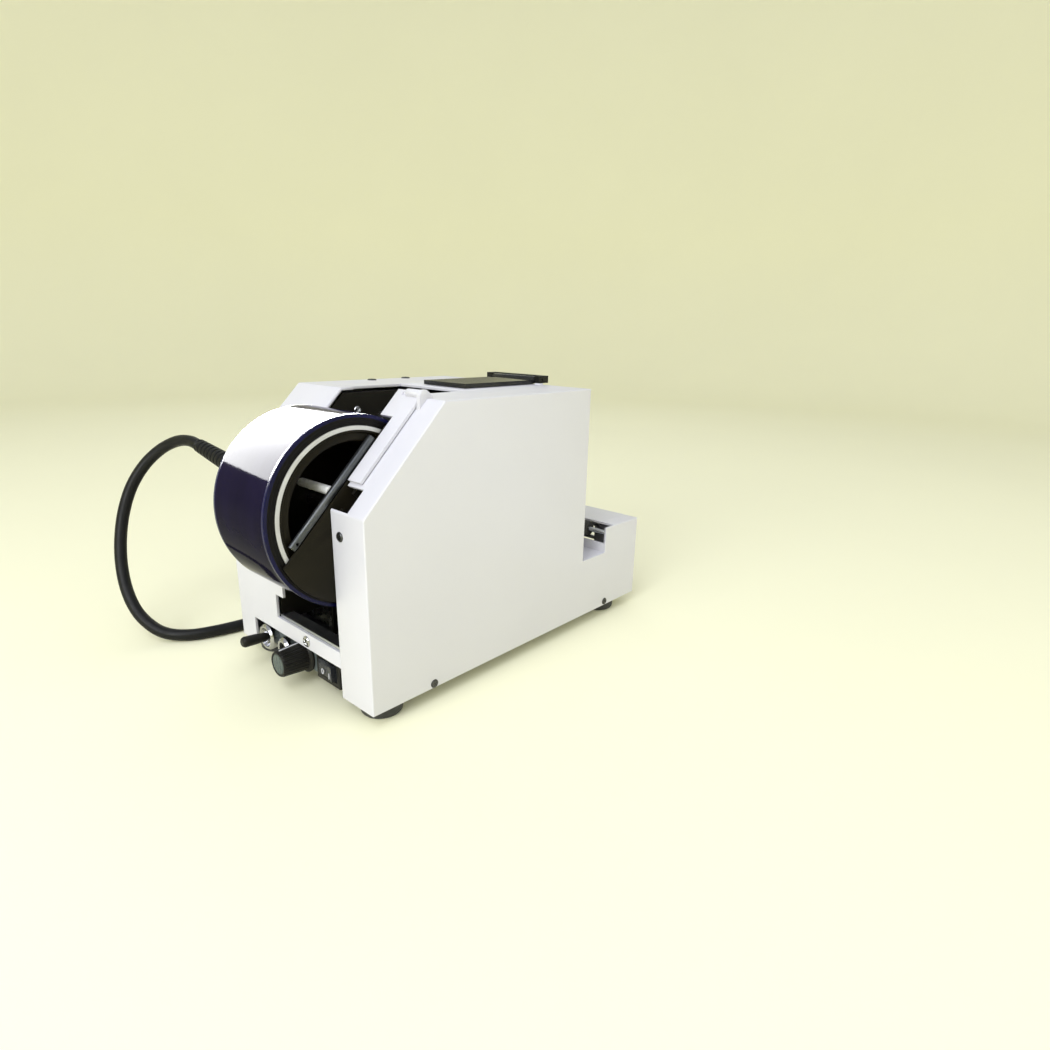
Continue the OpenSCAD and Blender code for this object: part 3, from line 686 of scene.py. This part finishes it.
def roller(name, node, material, bore, grooves, depth, edge=0.6):
    centre, reach = middle(node), extent(node)
    radius, halfWidth = reach.x / 2, reach.y / 2
    line = [(bore, -halfWidth), (radius, -halfWidth)]
    for k in range(grooves):
        y = -halfWidth + 2 * halfWidth * (k + 1) / (grooves + 1)
        line += [(radius, y - 0.55), (radius - depth, y - 0.35)]
        line += [(radius - depth, y + 0.35), (radius, y + 0.55)]
    line += [(radius, halfWidth), (bore, halfWidth)]
    return standFor(turned(name, material, centre, across, filleted(line, edge, 2), 64, ring=True), node)


roller("feed_roller_rubber", "feed_roller", rubber, 3.02, 11, 0.5)
roller("pinch_roller_silicone", "pinch_roller", silicone, 2.06, 5, 0.5)
roller("guide_roller_nylon", "guide_roller", nylon, 2.06, 3, 0.7)
roller("front_wiper_rubber", "front_wiper_roller", rubber, 1.62, 7, 0.4)
roller("rear_wiper_rubber", "rear_wiper_roller", rubber, 1.57, 15, 0.4)
print("rollers turned")

# control panel

panel = dict(x=5, low=0.9, high=15.0, nearEnd=33.2, farEnd=111.4, thick=0.7, corner=4.0)
spread = (panel["farEnd"] - panel["nearEnd"]) / 2
tall = (panel["high"] - panel["low"]) / 2
faceLine = filleted([(-spread, -tall), (spread, -tall), (spread, tall), (-spread, tall)], panel["corner"], 6)
face = padPlate("panel_face", panelGrey, at(panel["x"], (panel["farEnd"] + panel["nearEnd"]) / 2,
                                            (panel["high"] + panel["low"]) / 2),
                -across, upward, faceLine, panel["thick"], 0.25)
attach(face, "frame", "panel_grey")

rocker = dict(x=8, y=43.5, low=2.6, height=8.8, halfWidth=7, nose=6.2, tilt=radians(-6))


# a point of the rocker, from its pivot: out towards the operator, along its width, and up
def onRocker(out, along, high):
    x = out * cos(rocker["tilt"]) - along * sin(rocker["tilt"])
    y = out * sin(rocker["tilt"]) + along * cos(rocker["tilt"])
    return at(rocker["x"] + x, rocker["y"] + y, rocker["low"] + high)


wide, nose = rocker["halfWidth"], rocker["nose"]
rockerLine = [(-nose, -wide)]
for k in range(1, 16):  # two hollows that meet in a soft ridge
    along = -wide + 2 * wide * k / 16
    rockerLine.append((1.2 - nose - 1.2 * (abs(along) / wide) ** 1.7, along))
rockerLine += [(-nose, wide), (1, 6.6), (3, 0), (1, -6.6)]
bm = bmesh.new()
rows = []
top = rocker["height"]
for high, inset in ((0, 0.35), (0.1, 0.15), (0.4, 0), (top - 0.4, 0), (top - 0.1, 0.15), (top, 0.35)):
    row = []
    for out, along in rockerLine:
        shrink = 1 - inset / wide
        row.append(bm.verts.new(onRocker(out * shrink, along * shrink, high)))
    rows.append(row)
for low, high in zip(rows, rows[1:]):
    for k in range(len(rockerLine)):
        m = (k + 1) % len(rockerLine)
        bm.faces.new((low[k], low[m], high[m], high[k]))
bm.faces.new(rows[0][::-1])
bm.faces.new(rows[-1])
standFor(shaped("rocker_cap", bm, rockerPlastic, crease=30), "rocker_switch")

ringPoints = [onRocker(-5.75, 3.6 + 1.05 * cos(angle), 2.6 + 1.4 * sin(angle))
              for angle in (2 * pi * k / 24 for k in range(25))]
attach(tube("off_mark", markWhite, ringPoints, 0.24, 8), "rocker", "moulded_black")
barPoints = [onRocker(-5.72, -3.6, 1.0 + 0.8 * k) for k in range(5)]
attach(tube("on_mark", markWhite, barPoints, 0.3, 8), "rocker", "moulded_black")

knob = dict(y=66.5, z=7.6, skirt=9.6, foot=8.1, top=7.2, length=16, flutes=24, bore=2.6)


def fluted(radius, along, angle):
    if along < 2.2 or along > 15.0 or radius < 6:
        return radius
    return radius - 0.45 * max(0, cos(knob["flutes"] * angle)) ** 0.6


knobLine = [(knob["bore"], 0), (knob["skirt"], 0), (knob["skirt"], 1.0), (knob["foot"], 2.0)]
knobLine += [(knob["foot"] - (knob["foot"] - knob["top"]) * k / 6, 2.3 + 12.6 * k / 6) for k in range(7)]
knobEnd = knob["length"]
knobLine += [(6.6, knobEnd), (5.7, knobEnd), (5.6, knobEnd - 0.6), (0, knobEnd - 0.6)]
knobFoot = at(4, knob["y"], knob["z"])
knobLine = [(0, 0)] + filleted(knobLine, 0.25, 2, closed=False)
body = turned("knob_body", blackPlastic, knobFoot, outFront, knobLine, 192, flute=fluted)
capLine = [(0, knobEnd - 0.8), (5.5, knobEnd - 0.8), (5.5, knobEnd - 0.25), (5.1, knobEnd - 0.05),
           (0, knobEnd - 0.05)]
cap = turned("cap", capPlastic, knobFoot, outFront, filleted(capLine, 0.2, 3, closed=False), 64)
pointer = tube("pointer", markWhite, [knobFoot + outFront * (2.6 + 12 * k / 4) * mm
                                      + upward * (8.2 - 0.8 * k / 4) * mm for k in range(5)], 0.35, 8)
standFor(joined("fluted_knob", [body, cap, pointer]), "speed_knob")

socket = dict(y=82.5, z=7, radius=6, bore=3.4)
ringLine = [(socket["bore"], -0.9), (4.7, -0.9), (socket["radius"], 0.6), (socket["radius"], 5), (3.9, 5),
            (3.9, 18), (socket["bore"], 18)]


def knurled(radius, along, angle):
    return radius - (0.22 * (sin(30 * angle) > 0) if radius > 5.6 and along > 1.4 else 0)


ringFoot = at(0, socket["y"], socket["z"])
ringPiece = turned("plated_ring", chrome, ringFoot, -outFront, filleted(ringLine, 0.4, 3), 180, ring=True,
                   flute=knurled)
lining = turned("lining", blackPlastic, ringFoot, -outFront,
                filleted([(2.6, 0.2), (socket["bore"], 0.2), (socket["bore"], 12), (2.6, 12)], 0.2, 2), 48,
                ring=True)
standFor(joined("socket_ring", [ringPiece, lining]), "jack_ring")

bush = dict(y=101, z=7.5, radius=7.6)
bushLine = [(5.6, -0.95), (6.6, -0.95), (bush["radius"], 0.3), (bush["radius"], 5)]
for k in range(11):  # the thread behind the panel
    bushLine += [(4.9, 5.6 + 1.2 * k), (4.4, 6.2 + 1.2 * k)]
bushLine += [(4.6, 20), (3.2, 20), (3.2, 8.5)]


def sixSided(radius, along, angle):
    if radius < 6.4 or along < 1 or along > 4.9:
        return radius
    return min(radius, 6.75 / max(cos((angle % (pi / 3)) - pi / 6), 0.1))


standFor(turned("bush_nut", chrome, at(0, bush["y"], bush["z"]), -outFront, filleted(bushLine, 0.2, 2), 144,
                ring=True, flute=sixSided), "lever_bush")

lever = dict(pivot=(6, 101, 7.5), drop=radians(4))
leverWay = Vector((-cos(lever["drop"]), 0, sin(lever["drop"])))
leverLine = [(0, -2), (1.4, -2), (1.4, 4), (2.3, 7), (2.9, 12), (3.1, 19), (2.3, 20.6), (0, 20.6)]
standFor(turned("lever_bat", blackPlastic, at(*lever["pivot"]), leverWay,
                filleted(leverLine, 1.6, 5, closed=False), 40), "lever_switch")
print("control panel built")

# screws, feet and the coil of the cutter's magnet

heads = []
for x, z in ((37.9, 2.4), (188.3, 2.7)):
    heads.append(screwHead("head", darkScrew, at(x, 0, z), -across, 2.3, 0.85))
    heads.append(screwHead("head", darkScrew, at(x, housing["width"], z), across, 2.3, 0.85))
heads.append(screwHead("head", darkScrew, at(0, 19, 85.7), outFront, 2.4, 0.95))
heads.append(screwHead("head", chrome, at(0, 56.5, 20.2), outFront, 3.0, 1.15))
for x, y in ((95, 123), (124, 126)):
    heads.append(screwHead("head", darkScrew, at(x, y, housing["height"]), upward, 2.8, 0.95))
standFor(joined("screw_heads", heads), "cover_screws")
attach(screwHead("wall_screw", chrome, at(58, 86, 133), -across, 2.2, 1.0), "frame", "bright_steel")

foot = dict(top=11.2, bottom=9.6, high=8)
footLine = [(0, 1.4), (3.4, 1.4), (3.4, 0.05), (foot["bottom"], 0.05), (10.6, 1.2),
            (foot["top"], foot["high"]), (0, foot["high"])]
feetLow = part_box("feet")[0].z
feet = []
for x in (15, 200):
    for y in (14, housing["width"] - 14):
        place = Vector((at(x, y, 0).x, at(x, y, 0).y, feetLow))
        feet.append(turned("foot", footRubber, place, upward, filleted(footLine, 0.7, 4, closed=False), 56))
        feet.append(screwHead("footScrew", darkScrew, place + upward * 1.45 * mm, -upward, 2.6, 0.9))
standFor(joined("rubber_feet", feet), "feet")

winding = dict(x=142, y=52, low=103.4, high=132.6, radius=11.2)
windLine = [(10.55, 0)]
turns = 36
for k in range(turns):
    z = (winding["high"] - winding["low"]) * k / turns
    windLine += [(winding["radius"] - 0.18, z + 0.1), (winding["radius"], z + 0.4)]
    windLine += [(winding["radius"] - 0.18, z + 0.7)]
windLine += [(10.55, winding["high"] - winding["low"])]
attach(turned("magnet_winding", copper, at(winding["x"], winding["y"], winding["low"]), upward, windLine, 64,
              ring=True), "frame", "bronze")
print("fasteners, feet and winding built")

# floor, walls of the studio and lights

studio = dict(floor=1.6, bend=0.5, wall=1.5, colour=(0.94, 0.92, 0.69))
bowl = [(0, 0), (studio["floor"] * 1000, 0)]
bowl += [((studio["floor"] + studio["bend"] * sin(a)) * 1000, studio["bend"] * (1 - cos(a)) * 1000)
         for a in (radians(9 * k) for k in range(1, 11))]
bowl += [((studio["floor"] + studio["bend"]) * 1000, studio["wall"] * 1000)]
paper = finish("pale_paper", studio["colour"], [c * 0.985 for c in studio["colour"]], patch=3, rough=0.85,
               uneven=0.03, grain=400, bump=0.02)
ground = Vector((0, 0, feetLow - 0.05 * mm))
turned("studio_floor", paper, ground, upward, bowl, 96)

world = bpy.data.worlds.new("studio")
bpy.context.scene.world = world
world.use_nodes = True
world.node_tree.nodes["Background"].inputs["Color"].default_value = (0.95, 0.98, 1.04, 1)
world.node_tree.nodes["Background"].inputs["Strength"].default_value = 0.62


def softLight(name, place, target, width, height, power, colour=(1, 1, 1)):
    data = bpy.data.lights.new(name, "AREA")
    data.shape = "RECTANGLE"
    data.size, data.size_y = width, height
    data.energy = power
    data.color = colour
    made = bpy.data.objects.new(name, data)
    made.location = place
    made.rotation_euler = (Vector(target) - Vector(place)).to_track_quat("-Z", "Y").to_euler()
    bpy.context.scene.collection.objects.link(made)
    return made


aim = (0, 0, 0.07)
softLight("key_box", (-0.75, -0.35, 1.15), aim, 0.7, 0.9, 6.5, (0.95, 0.98, 1.04))
softLight("front_box", (-1.2, -0.25, 0.6), aim, 0.8, 0.5, 8.5, (0.95, 0.98, 1.04))
softLight("side_box", (0.15, -1.25, 0.7), aim, 1.1, 0.8, 3.0, (0.95, 0.98, 1.04))
softLight("back_box", (0.7, 0.9, 1.0), aim, 0.9, 0.7, 1.4, (0.95, 0.98, 1.04))
strip = dict(azimuth=radians(84), height=radians(25.5), away=0.9, wide=1.2, tall=0.26, power=100)
stripWay = Vector((cos(strip["azimuth"]) * cos(strip["height"]), sin(strip["azimuth"]) * cos(strip["height"]),
                   sin(strip["height"])))
stripLight = softLight("film_strip", rollCentre + stripWay * strip["away"], rollCentre, strip["wide"],
                       strip["tall"], strip["power"])
stripLight.visible_camera = False
lit = bpy.data.collections.new("lit_by_film_strip")  # the strip shines on the wound film alone
lit.objects.link(bpy.data.objects["wound_tape"])
stripLight.light_linking.receiver_collection = lit
bpy.context.scene.view_settings.view_transform = "Standard"
print("studio lit")
